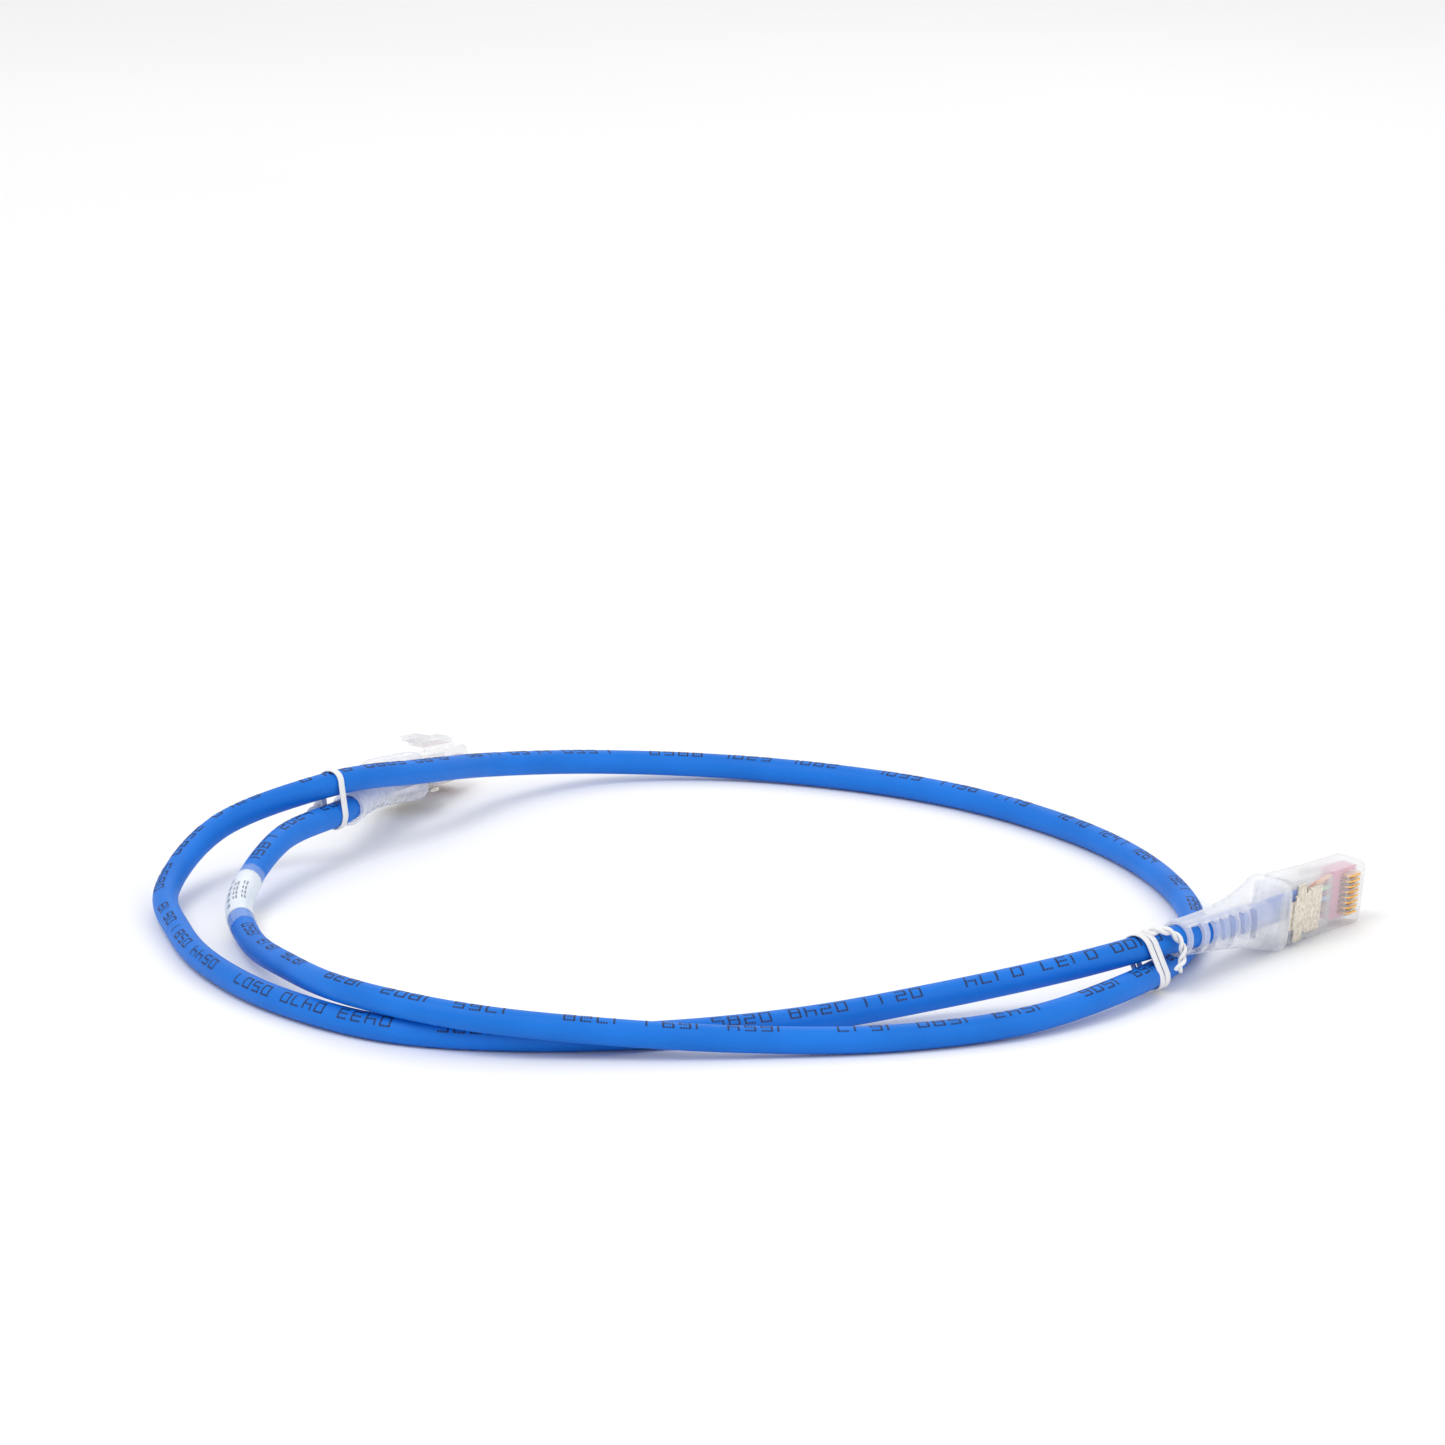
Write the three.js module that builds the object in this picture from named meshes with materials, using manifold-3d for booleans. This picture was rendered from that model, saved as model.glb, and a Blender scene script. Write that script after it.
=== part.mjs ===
// Coiled ethernet patch cable with two clear modular plugs, strain relief boots,
// a wrapped label and two ties.  Millimetres, +Z up, floor at z = 0.
import * as THREE from 'three';
import { mergeVertices } from 'three/addons/utils/BufferGeometryUtils.js';
import Module from 'manifold-3d';

const wasm = await Module();
wasm.setup();
const { Manifold, Mesh: SolidMesh } = wasm;

// ---- driving dimensions ----------------------------------------------------
const PLUG_WIDTH = 11.68;
const PLUG_HEIGHT = 6.6;
const CONTACT_PITCH = 1.016;
const CONTACT_COUNT = 8;
const CONTACT_THICKNESS = 0.3;
const CORD_DIAMETER = 4.7;
const JACKET_WALL = 0.55;
const CORD_STEPS = 88;
const PAIR_DIAMETER = 0.95;
const PAIR_RADIUS = 0.9;
const WIRE_DIAMETER = 0.85;
const ROW_OFFSET = 0.62;
const JACKET_START = 15.0;
const BOOT_LENGTH_END = 55.0;
const LATCH_HINGE = { back: 1.3, normal: -4.3 };

// Centre of the footprint of the two plugs in the layout frame.
const ORIGIN = new THREE.Vector3(29.28, 13.95, 0);

// Each plug: nose centre, heading, pitch and roll in degrees, and how far the
// boot's tail bends sideways and towards the contact face.
const PLUG_A = {
  suffix: 'a', nose: [122.37, -11.9, 6.05], heading: 50, pitch: -1.6, roll: 5.5,
  bend: [0.9, 0.55],
};
const PLUG_B = {
  suffix: 'b', nose: [-47.1, 82.6, 4.15], heading: 71, pitch: -7.5, roll: 75,
  bend: [1.4, 2.6],
};

// Route of the cord from the tail of boot A to the tail of boot B.
const CABLE_ROUTE = [
  [68, -68, 7.2], [45, -75.5, 4.3], [22, -84, 2.6], [-1.5, -91.5, 2.4],
  [-25.5, -94, 2.4], [-49.5, -88.5, 2.4], [-69.2, -72, 2.5], [-82.7, -51, 2.6],
  [-90, -30, 2.7], [-94, -6.5, 4.1], [-85.5, 15, 10.2], [-65.2, 27.1, 15.0],
  [-49.4, 45.3, 12.5], [-37, 66.5, 8.2], [-17.5, 83, 4.4], [6.5, 86, 2.8],
  [30, 79, 2.5], [51.2, 66, 2.5], [68.2, 48.3, 2.5], [81.7, 26.7, 2.5],
  [90.1, 2.5, 2.5], [93, -23, 2.5], [88, -47.5, 2.7], [77.5, -69, 3.75],
  [59.5, -85.5, 2.8], [37, -94, 2.4], [12.5, -97, 3.1], [-12, -98, 4.8],
  [-36, -95.5, 6.7], [-56.5, -82.5, 7.2], [-68.5, -61.5, 5.6], [-76.5, -38.5, 3.6],
  [-80, -14, 4.4], [-74, 9, 9.1],
];

// Label position along the jacket, and the two ties: where each crosses the
// jacket, its inner radius and width, and the tail in its own frame (out across
// the stack, sideways, along the cord).
const LABEL = { from: 841, to: 860 };
const TIE_THICKNESS = 0.3;
const TIES = [
  {
    name: 'tie_a', first: 48, second: 621, radius: 2.8, width: 1.8,
    tail: [[4.4, -2.8, -0.4], [4.2, -4.2, -2.4], [2.4, -5.0, -4.2], [-1.2, -4.6, -3.6]],
  },
  {
    name: 'tie_b', first: 332, second: 896, radius: 2.9, width: 1.8,
    tail: [[-0.4, -3.4, 0], [-1.6, -4.4, -1.8], [-2.8, -4.8, -4.4], [-4.0, -4.6, -6.8]],
  },
];

// ---- materials -------------------------------------------------------------
const looks = {
  clear: { color: 0xe9edf0, roughness: 0.15, metalness: 0, transparent: true, opacity: 0.45 },
  boot: { color: 0xe6e9f2, roughness: 0.45, metalness: 0, transparent: true, opacity: 0.75 },
  loadBar: { color: 0xe7a6bf, roughness: 0.3, metalness: 0 },
  gold: { color: 0xd9962c, roughness: 0.25, metalness: 1 },
  nickel: { color: 0xb9b1a3, roughness: 0.4, metalness: 1 },
  jacket: { color: 0x2f82e4, roughness: 0.45, metalness: 0 },
  label: { color: 0xf2f3f4, roughness: 0.6, metalness: 0 },
  laminate: { color: 0xdfe9f4, roughness: 0.2, metalness: 0, transparent: true, opacity: 0.4 },
  tie: { color: 0xf0f0ee, roughness: 0.6, metalness: 0 },
};
const WIRE_COLOURS = [
  0xf2b27a, 0xe8791e, 0xa8d8a0, 0x2c62c8, 0x9fb9ea, 0x2f9a48, 0xc9a184, 0x7a4a2a,
];
const PAIR_COLOURS = [0xe8791e, 0x2f9a48, 0x2c62c8, 0x7a4a2a];

function look(name, colour) {
  const values = { ...looks[name] };
  if (colour !== undefined) values.color = colour;
  return new THREE.MeshStandardMaterial(values);
}

function part(name, geometry, material) {
  const mesh = new THREE.Mesh(geometry, material);
  mesh.name = name;
  return mesh;
}

// ---- solids ----------------------------------------------------------------
function toSolid(geometry) {
  const bare = geometry.clone();
  bare.deleteAttribute('normal');
  bare.deleteAttribute('uv');
  const welded = mergeVertices(bare, 1e-4);
  return new Manifold(new SolidMesh({
    numProp: 3,
    vertProperties: new Float32Array(welded.attributes.position.array),
    triVerts: new Uint32Array(welded.index.array),
  }));
}

function toGeometry(solid) {
  const mesh = solid.getMesh();
  const geometry = new THREE.BufferGeometry();
  geometry.setAttribute('position', new THREE.BufferAttribute(mesh.vertProperties, 3));
  geometry.setIndex(new THREE.BufferAttribute(mesh.triVerts, 1));
  const flat = geometry.toNonIndexed();
  flat.computeVertexNormals();
  return flat;
}

function block(x0, x1, y0, y1, z0, z1) {
  const geometry = new THREE.BoxGeometry(x1 - x0, y1 - y0, z1 - z0);
  geometry.translate((x0 + x1) / 2, (y0 + y1) / 2, (z0 + z1) / 2);
  return toSolid(geometry);
}

// Ring of points on a superellipse across the plug's axis.
function section({ back, width, height, power, shift = [0, 0] }, count) {
  const ring = [];
  for (let i = 0; i < count; i += 1) {
    const angle = (2 * Math.PI * (i + 0.5)) / count;
    const c = Math.cos(angle);
    const s = Math.sin(angle);
    const y = Math.sign(c) * Math.abs(c) ** (2 / power) * (width / 2);
    const z = Math.sign(s) * Math.abs(s) ** (2 / power) * (height / 2);
    ring.push([-back, y + shift[0], z + shift[1]]);
  }
  return ring;
}

// Closed solid through a list of sections, with flat ends.
function loft(sections, count) {
  const rings = sections.map((item) => section(item, count));
  const points = rings.flat(2);
  const index = [];
  const last = (rings.length - 1) * count;
  for (let k = 0; k + 1 < rings.length; k += 1) {
    for (let i = 0; i < count; i += 1) {
      const j = (i + 1) % count;
      const a = k * count + i;
      const b = k * count + j;
      index.push(a, a + count, b, b, a + count, b + count);
    }
  }
  for (let i = 1; i + 1 < count; i += 1) {
    index.push(0, i, i + 1);
    index.push(last, last + i + 1, last + i);
  }
  const geometry = new THREE.BufferGeometry();
  geometry.setAttribute('position', new THREE.Float32BufferAttribute(points, 3));
  geometry.setIndex(index);
  return toSolid(geometry);
}

// Prism from an outline in the side plane (back, normal), centred on width w.
function sidePrism(outline, w, width) {
  const shape = new THREE.Shape(outline.map(([back, n]) => new THREE.Vector2(-back, n)));
  const geometry = new THREE.ExtrudeGeometry(shape, { depth: width, bevelEnabled: false });
  geometry.rotateX(Math.PI / 2);
  geometry.translate(0, w + width / 2, 0);
  return geometry;
}

// Polygonal tube along a curve; inner radius zero makes a solid rod.
function tube(curve, outer, inner, sides, innerSides, steps, centre = [0, 0]) {
  const circle = (radius, count) => {
    const points = [];
    for (let i = 0; i < count; i += 1) {
      const angle = (2 * Math.PI * i) / count;
      const x = centre[0] + radius * Math.cos(angle);
      const y = centre[1] + radius * Math.sin(angle);
      points.push(new THREE.Vector2(x, y));
    }
    return points;
  };
  const shape = new THREE.Shape(circle(outer, sides));
  if (inner > 0) shape.holes.push(new THREE.Path(circle(inner, innerSides)));
  return new THREE.ExtrudeGeometry(shape, { steps, bevelEnabled: false, extrudePath: curve });
}

function curveThrough(points) {
  const vectors = points.map((p) => new THREE.Vector3(...p));
  return new THREE.CatmullRomCurve3(vectors, false, 'centripetal');
}

// ---- plug ------------------------------------------------------------------
// Plug frame: +X to the nose, Y across the width, +Z out of the contact face.
function plugMatrix({ nose, heading, pitch, roll }) {
  const h = THREE.MathUtils.degToRad(heading);
  const p = THREE.MathUtils.degToRad(pitch);
  const r = THREE.MathUtils.degToRad(roll);
  const axis = new THREE.Vector3(Math.cos(h) * Math.cos(p), Math.sin(h) * Math.cos(p), Math.sin(p));
  const side = new THREE.Vector3(Math.sin(h), -Math.cos(h), 0);
  const up = new THREE.Vector3().crossVectors(side, axis);
  const width = up.clone().multiplyScalar(Math.cos(r)).addScaledVector(side, Math.sin(r));
  const normal = side.clone().multiplyScalar(Math.cos(r)).addScaledVector(up, -Math.sin(r));
  return new THREE.Matrix4().makeBasis(axis, width, normal).setPosition(...nose);
}

// Sideways shift of the boot's centre line at a distance behind the nose.
function bootShift(plug, back) {
  const t = Math.max(0, (back - 26.6) / 28) ** 2;
  return [plug.bend[0] * t, plug.bend[1] * t];
}

const HOUSING_SECTIONS = [
  { back: 0, width: 10.6, height: 5.4, power: 5 },
  { back: 0.9, width: PLUG_WIDTH, height: 6.5, power: 8 },
  { back: 8, width: PLUG_WIDTH, height: PLUG_HEIGHT, power: 8 },
  { back: 14.5, width: 11.75, height: 6.75, power: 8, shift: [0, -0.07] },
  { back: 23, width: 11.9, height: 7.2, power: 8, shift: [0, -0.25] },
  { back: 23.3, width: 10.6, height: 6.2, power: 8 },
  { back: 26, width: 10.6, height: 6.2, power: 8 },
];

function contactWidth(i) {
  return 3.5 * CONTACT_PITCH - CONTACT_PITCH * i;
}

function housingSolid() {
  let solid = loft(HOUSING_SECTIONS, 24);
  solid = solid.subtract(block(-27, -10, -4.8, 4.8, -2.7, 2.7));
  solid = solid.subtract(block(-10.5, -1.0, -4.85, 4.85, -1.6, 1.6));
  for (let i = 0; i < CONTACT_COUNT; i += 1) {
    const w = contactWidth(i);
    solid = solid.subtract(block(-5.6, -1.25, w - 0.3, w + 0.3, 1.4, 5));
  }
  const root = toSolid(sidePrism([[0.3, -2.9], [1.2, -2.9], [1.2, -5.0], [0.6, -5.0]], 0, 6.2));
  return solid.add(root);
}

function latchSolid() {
  const wide = [[1.5, -3.9], [1.5, -5.2], [8.0, -6.35], [8.0, -5.2]];
  const narrow = [[7.6, -5.1], [7.6, -6.2], [14.8, -7.5], [14.8, -6.5]];
  const head = toSolid(sidePrism(wide, 0, 6.2));
  return head.add(toSolid(sidePrism(narrow, 0, 3.3)));
}

function loadBarSolid() {
  let solid = block(-7.9, -1.2, -4.7, 4.7, -1.45, 1.45);
  for (let i = 0; i < CONTACT_COUNT; i += 1) {
    const w = contactWidth(i);
    const row = i % 2 === 0 ? ROW_OFFSET : -ROW_OFFSET;
    const hole = new THREE.CylinderGeometry(0.575, 0.575, 9, 8);
    hole.rotateZ(Math.PI / 2);
    hole.translate(-4.5, w, row);
    solid = solid.subtract(toSolid(hole));
    solid = solid.subtract(block(-5.6, -1.35, w - 0.3, w + 0.3, row, 2));
  }
  return solid;
}

function contactGeometry(i) {
  const low = i % 2 === 0 ? 1.2 : -0.05;
  const outline = [
    [1.5, low + 0.5], [1.5, 2.75], [1.9, 3.15], [4.7, 3.15], [5.3, 2.5], [5.3, low + 0.5],
    [4.6, low + 0.5], [4.0, low], [3.4, low + 0.5], [2.8, low], [2.2, low + 0.5],
  ];
  return sidePrism(outline.reverse(), contactWidth(i), CONTACT_THICKNESS);
}

function wireGeometry(i) {
  const w = contactWidth(i);
  const row = i % 2 === 0 ? ROW_OFFSET : -ROW_OFFSET;
  const path = curveThrough([
    [-14.6, w * 0.5, row], [-13.2, w * 0.53, row], [-10.2, w * 0.95, row],
    [-8.6, w, row], [-2.5, w, row],
  ]);
  return tube(path, WIRE_DIAMETER / 2, 0, 6, 0, 7);
}

// Plain strip of sprung metal with cross tabs, notches and a folded flange.
function clipSolid() {
  const outline = [
    [14.9, -3.9], [14.9, 3.9], [15.3, 4.2], [19.3, 4.2], [19.6, 3.5], [19.9, 3.5], [20.1, 4.2],
    [20.1, 5.4], [22.6, 5.4], [22.6, 3.5], [22.9, 3.2], [22.9, 2.5], [24.6, 2.5],
    [24.6, -2.8], [22.7, -2.8], [22.7, -5.4], [20.1, -5.4], [20.1, -4.0], [19.9, -3.6],
    [19.6, -3.6], [19.3, -4.1], [15.4, -4.1],
  ];
  const shape = new THREE.Shape(outline.map(([back, w]) => new THREE.Vector2(-back, w)));
  const plate = new THREE.ExtrudeGeometry(shape, { depth: 0.35, bevelEnabled: false });
  plate.translate(0, 0, 3.55);
  const flange = block(-19.1, -15.4, 3.95, 4.3, 3.55, 4.25);
  const roll = new THREE.CylinderGeometry(0.3, 0.3, 5.0, 8);
  roll.translate(-23.3, -0.15, 3.95);
  return toSolid(plate).add(flange).add(toSolid(roll));
}

const BOOT_SECTIONS = [
  { back: 24.9, width: 12.6, height: 8.6, power: 5 },
  { back: 26.6, width: 13.2, height: 9.6, power: 5 },
  { back: 29, width: 12.2, height: 9.2, power: 4 },
  { back: 32, width: 10.8, height: 8.8, power: 3 },
  { back: 36, width: 9.2, height: 8.2, power: 2.6 },
  { back: 41, width: 8.0, height: 7.4, power: 2.4 },
  { back: 45, width: 7.4, height: 7.0, power: 2.2 },
  { back: 51.5, width: 6.8, height: 6.6, power: 2 },
  { back: BOOT_LENGTH_END, width: 6.7, height: 6.6, power: 2 },
];

// Flex slots on the contact side: start, end, lower and upper reach on the width.
const BOOT_SLOTS = [
  [50.3, 53.8, -2.3, 2.3], [46.6, 48.6, -2.4, 2.6], [44.3, 45.4, -0.8, 2.7],
  [41.3, 42.6, -2.6, 2.9], [38.7, 39.7, -0.6, 3.1], [35.2, 36.6, -2.3, 3.3],
];

function bootSolid(plug) {
  const withShift = (item) => ({ ...item, shift: bootShift(plug, item.back) });
  let solid = loft(BOOT_SECTIONS.map(withShift), 20);
  const bore = [26, 32, 40, 48, 57].map((back) => withShift({
    back, width: 5.6, height: 5.6, power: 2,
  }));
  solid = solid.subtract(loft(bore, 14));
  const pocket = [24, 26.4, 27.4].map((back, k) => ({
    back, width: k < 2 ? 11.1 : 9.6, height: k < 2 ? 6.7 : 5.2, power: 8,
  }));
  solid = solid.subtract(loft(pocket, 12));
  for (const [start, end, low, high] of BOOT_SLOTS) {
    const [dy, dz] = bootShift(plug, (start + end) / 2);
    solid = solid.subtract(block(-end, -start, low + dy, high + dy, 1.5 + dz, 7));
  }
  return solid;
}

function buildPlug(plug) {
  const group = new THREE.Group();
  group.name = `plug_${plug.suffix}`;
  const id = (name) => `${name}_${plug.suffix}`;
  group.add(part(id('housing'), toGeometry(housingSolid()), look('clear')));
  group.add(part(id('load_bar'), toGeometry(loadBarSolid()), look('loadBar')));
  group.add(part(id('clip'), toGeometry(clipSolid()), look('nickel')));
  group.add(part(id('boot'), toGeometry(bootSolid(plug)), look('boot')));
  const latch = part(id('latch'), toGeometry(latchSolid()), look('clear'));
  latch.geometry.translate(LATCH_HINGE.back, 0, -LATCH_HINGE.normal);
  latch.position.set(-LATCH_HINGE.back, 0, LATCH_HINGE.normal);
  group.add(latch);
  for (let i = 0; i < CONTACT_COUNT; i += 1) {
    const n = i + 1;
    group.add(part(id(`contact_${n}`), contactGeometry(i), look('gold')));
    group.add(part(id(`wire_${n}`), wireGeometry(i), look('jacket', WIRE_COLOURS[i])));
  }
  const matrix = plugMatrix(plug);
  matrix.decompose(group.position, group.quaternion, group.scale);
  return group;
}

// ---- cord ------------------------------------------------------------------
function bootPoint(plug, back) {
  const [dy, dz] = bootShift(plug, back);
  return new THREE.Vector3(-back, dy, dz).applyMatrix4(plugMatrix(plug)).toArray();
}

function cordCurve() {
  const insideA = [JACKET_START, 27, 38, 47, BOOT_LENGTH_END].map((b) => bootPoint(PLUG_A, b));
  const insideB = [BOOT_LENGTH_END, 47, 38, 27, JACKET_START].map((b) => bootPoint(PLUG_B, b));
  const curve = curveThrough([...insideA, ...CABLE_ROUTE, ...insideB]);
  curve.arcLengthDivisions = 1200;
  return curve;
}

function cordPiece(curve, from, to, count) {
  const total = curve.getLength();
  const points = [];
  for (let i = 0; i <= count; i += 1) {
    points.push(curve.getPointAt((from + ((to - from) * i) / count) / total).toArray());
  }
  return curveThrough(points);
}

// Flat band round two neighbouring runs of the cord, with a twisted tail.
function tieSolid(curve, { first, second, radius, width, tail }) {
  const total = curve.getLength();
  const a = curve.getPointAt(first / total);
  const b = curve.getPointAt(second / total);
  const along = curve.getTangentAt(first / total);
  along.add(curve.getTangentAt(second / total)).normalize();
  const up = a.clone().sub(b);
  const gap = up.length();
  up.addScaledVector(along, -up.dot(along)).normalize();
  const side = new THREE.Vector3().crossVectors(along, up);
  const stadium = (radius, count) => {
    const points = [];
    for (let i = 0; i <= count; i += 1) {
      const angle = (Math.PI * i) / count;
      points.push(new THREE.Vector2(gap / 2 + radius * Math.sin(angle), radius * Math.cos(angle)));
    }
    for (let i = 0; i <= count; i += 1) {
      const angle = (Math.PI * i) / count;
      points.push(new THREE.Vector2(-gap / 2 - radius * Math.sin(angle), -radius * Math.cos(angle)));
    }
    return points;
  };
  const shape = new THREE.Shape(stadium(radius + TIE_THICKNESS, 8).reverse());
  shape.holes.push(new THREE.Path(stadium(radius, 8)));
  const band = new THREE.ExtrudeGeometry(shape, { depth: width, bevelEnabled: false });
  band.translate(0, 0, -width / 2);
  const matrix = new THREE.Matrix4().makeBasis(up, side, along);
  matrix.setPosition(a.add(b).multiplyScalar(0.5));
  band.applyMatrix4(matrix);
  const knot = curveThrough(tail.map(([x, y, z]) => [x, y, z]));
  knot.points.forEach((p) => p.applyMatrix4(matrix));
  return toSolid(band).add(toSolid(tube(knot, 0.8, 0, 6, 0, 10)));
}

const root = new THREE.Group();
root.name = 'ethernet_patch_cable';
root.add(buildPlug(PLUG_A));
root.add(buildPlug(PLUG_B));

const cord = cordCurve();
const jacket = tube(cord, CORD_DIAMETER / 2, CORD_DIAMETER / 2 - JACKET_WALL, 10, 8, CORD_STEPS);
root.add(part('cable_jacket', jacket, look('jacket')));
for (let k = 0; k < 4; k += 1) {
  const angle = Math.PI / 4 + (k * Math.PI) / 2;
  const centre = [PAIR_RADIUS * Math.cos(angle), PAIR_RADIUS * Math.sin(angle)];
  const pair = tube(cord, PAIR_DIAMETER / 2, 0, 4, 0, CORD_STEPS, centre);
  root.add(part(`pair_${k + 1}`, pair, look('jacket', PAIR_COLOURS[k])));
}
const wrap = cordPiece(cord, LABEL.from, LABEL.to, 6);
root.add(part('label', tube(wrap, 2.95, 2.8, 12, 12, 5), look('label')));
const film = cordPiece(cord, LABEL.from - 6, LABEL.to + 2, 6);
root.add(part('label_laminate', tube(film, 3.25, 3.1, 12, 12, 6), look('laminate')));
for (const tie of TIES) {
  root.add(part(tie.name, toGeometry(tieSolid(cord, tie)), look('tie')));
}
root.position.copy(ORIGIN).negate();
root.updateMatrixWorld(true);

export default root;
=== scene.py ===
"""Looks of the coiled patch cable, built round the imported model. Metres, +Z up."""

import math

import bmesh
import bpy
from mathutils import Matrix, Vector


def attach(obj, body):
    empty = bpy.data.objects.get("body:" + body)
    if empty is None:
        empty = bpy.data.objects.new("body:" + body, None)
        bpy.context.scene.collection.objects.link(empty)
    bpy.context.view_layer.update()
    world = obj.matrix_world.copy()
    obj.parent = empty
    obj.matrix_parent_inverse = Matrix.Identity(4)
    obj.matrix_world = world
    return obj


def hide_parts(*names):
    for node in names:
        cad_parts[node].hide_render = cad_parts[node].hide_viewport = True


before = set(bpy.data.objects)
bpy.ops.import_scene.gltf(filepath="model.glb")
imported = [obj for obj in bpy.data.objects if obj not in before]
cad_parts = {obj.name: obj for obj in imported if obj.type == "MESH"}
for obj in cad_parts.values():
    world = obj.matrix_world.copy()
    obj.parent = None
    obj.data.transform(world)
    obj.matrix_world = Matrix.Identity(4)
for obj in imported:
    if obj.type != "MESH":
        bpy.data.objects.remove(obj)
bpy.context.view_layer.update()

MM = 0.001
ORIGIN = Vector((29.28, 13.95, 0.0))

# ---- the facts that the CAD model has too (millimetres, degrees) ------------
PLUGS = {
    "a": {"nose": (122.37, -11.9, 6.05), "heading": 50, "pitch": -1.6, "roll": 5.5,
          "bend": (0.9, 0.55)},
    "b": {"nose": (-47.1, 82.6, 4.15), "heading": 71, "pitch": -7.5, "roll": 75,
          "bend": (1.4, 2.6)},
}
CABLE_ROUTE = [
    (68, -68, 7.2), (45, -75.5, 4.3), (22, -84, 2.6), (-1.5, -91.5, 2.4),
    (-25.5, -94, 2.4), (-49.5, -88.5, 2.4), (-69.2, -72, 2.5), (-82.7, -51, 2.6),
    (-90, -30, 2.7), (-94, -6.5, 4.1), (-85.5, 15, 10.2), (-65.2, 27.1, 15.0),
    (-49.4, 45.3, 12.5), (-37, 66.5, 8.2), (-17.5, 83, 4.4), (6.5, 86, 2.8),
    (30, 79, 2.5), (51.2, 66, 2.5), (68.2, 48.3, 2.5), (81.7, 26.7, 2.5),
    (90.1, 2.5, 2.5), (93, -23, 2.5), (88, -47.5, 2.7), (77.5, -69, 3.75),
    (59.5, -85.5, 2.8), (37, -94, 2.4), (12.5, -97, 3.1), (-12, -98, 4.8),
    (-36, -95.5, 6.7), (-56.5, -82.5, 7.2), (-68.5, -61.5, 5.6), (-76.5, -38.5, 3.6),
    (-80, -14, 4.4), (-74, 9, 9.1),
]
CORD_DIAMETER = 4.7
JACKET_BORE = 3.6
RING_STEP = 1.25
# Distances behind a plug's nose.
JACKET_START = 15.0
BOOT_END = 55.0
BEND_START, BEND_LENGTH = 26.6, 28
CENTRE_LINE_STOPS = (JACKET_START, 27, 38, 47, BOOT_END)

# The camera's place, its lens, and how many degrees it looks down.
CAMERA_PLACE = (7.8, -1153.5, 330.8)
CAMERA_LENS = 161.9
CAMERA_DOWN = 14.44


def to_world(point):
    """Layout millimetres to row-frame metres."""
    return (Vector(point) - ORIGIN) * MM


def plug_matrix(plug):
    """Plug frame in the row frame: +X to the nose, Y across, Z out of the contact face."""
    h, p, r = (math.radians(plug[k]) for k in ("heading", "pitch", "roll"))
    axis = Vector((math.cos(h) * math.cos(p), math.sin(h) * math.cos(p), math.sin(p)))
    side = Vector((math.sin(h), -math.cos(h), 0))
    up = side.cross(axis)
    width = up * math.cos(r) + side * math.sin(r)
    normal = side * math.cos(r) - up * math.sin(r)
    basis = Matrix((axis, width, normal)).transposed().to_4x4()
    return Matrix.Translation(to_world(plug["nose"])) @ basis @ Matrix.Scale(MM, 4)


def boot_shift(plug, back):
    """How far the boot's centre line has curved off the plug's axis."""
    t = max(0.0, (back - BEND_START) / BEND_LENGTH) ** 2
    return plug["bend"][0] * t, plug["bend"][1] * t


def boot_point(plug, back):
    """Point of the centre line in plug and boot, at a distance behind the nose."""
    dy, dz = boot_shift(plug, back)
    return plug_matrix(plug) @ Vector((-back, dy, dz))


def smooth_curve(points, per_span=24):
    """Centripetal Catmull-Rom through the points, as a dense polyline."""
    ends = [points[0] * 2 - points[1]] + points + [points[-1] * 2 - points[-2]]
    dense = []
    for k in range(1, len(ends) - 2):
        p = ends[k - 1:k + 3]
        t = [0.0]
        for a, b in zip(p, p[1:]):
            t.append(t[-1] + (b - a).length ** 0.5)
        for i in range(per_span):
            u = t[1] + (t[2] - t[1]) * i / per_span
            a1 = p[0] * ((t[1] - u) / (t[1] - t[0])) + p[1] * ((u - t[0]) / (t[1] - t[0]))
            a2 = p[1] * ((t[2] - u) / (t[2] - t[1])) + p[2] * ((u - t[1]) / (t[2] - t[1]))
            a3 = p[2] * ((t[3] - u) / (t[3] - t[2])) + p[3] * ((u - t[2]) / (t[3] - t[2]))
            b1 = a1 * ((t[2] - u) / (t[2] - t[0])) + a2 * ((u - t[0]) / (t[2] - t[0]))
            b2 = a2 * ((t[3] - u) / (t[3] - t[1])) + a3 * ((u - t[1]) / (t[3] - t[1]))
            dense.append(b1 * ((t[2] - u) / (t[2] - t[1])) + b2 * ((u - t[1]) / (t[2] - t[1])))
    dense.append(points[-1])
    return dense


class Path:
    """A polyline that can be asked for its point and direction at a length along it."""

    TANGENT_STEP = 0.0005

    def __init__(self, points):
        self.points = points
        self.at = [0.0]
        for a, b in zip(points, points[1:]):
            self.at.append(self.at[-1] + (b - a).length)
        self.length = self.at[-1]

    def point(self, s):
        s = min(max(s, 0.0), self.length)
        low, high = 0, len(self.at) - 1
        while high - low > 1:
            mid = (low + high) // 2
            if self.at[mid] <= s:
                low = mid
            else:
                high = mid
        t = (s - self.at[low]) / (self.at[high] - self.at[low])
        return self.points[low].lerp(self.points[high], t)

    def tangent(self, s):
        ahead, behind = self.point(s + self.TANGENT_STEP), self.point(s - self.TANGENT_STEP)
        return (ahead - behind).normalized()

    def samples(self, start, end, step):
        count = max(2, round((end - start) / step))
        return [self.point(start + (end - start) * i / count) for i in range(count + 1)]


# ---- camera and cord route first ---------------------------------------------
camera_data = bpy.data.cameras.new("camera")
camera_data.sensor_width = 36.0
camera_data.lens = CAMERA_LENS
camera_data.clip_start = 0.05
camera = bpy.data.objects.new("camera", camera_data)
camera.location = to_world(CAMERA_PLACE)
camera.rotation_euler = (math.radians(90 - CAMERA_DOWN), 0, 0)
bpy.context.collection.objects.link(camera)
bpy.context.scene.camera = camera

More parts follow.
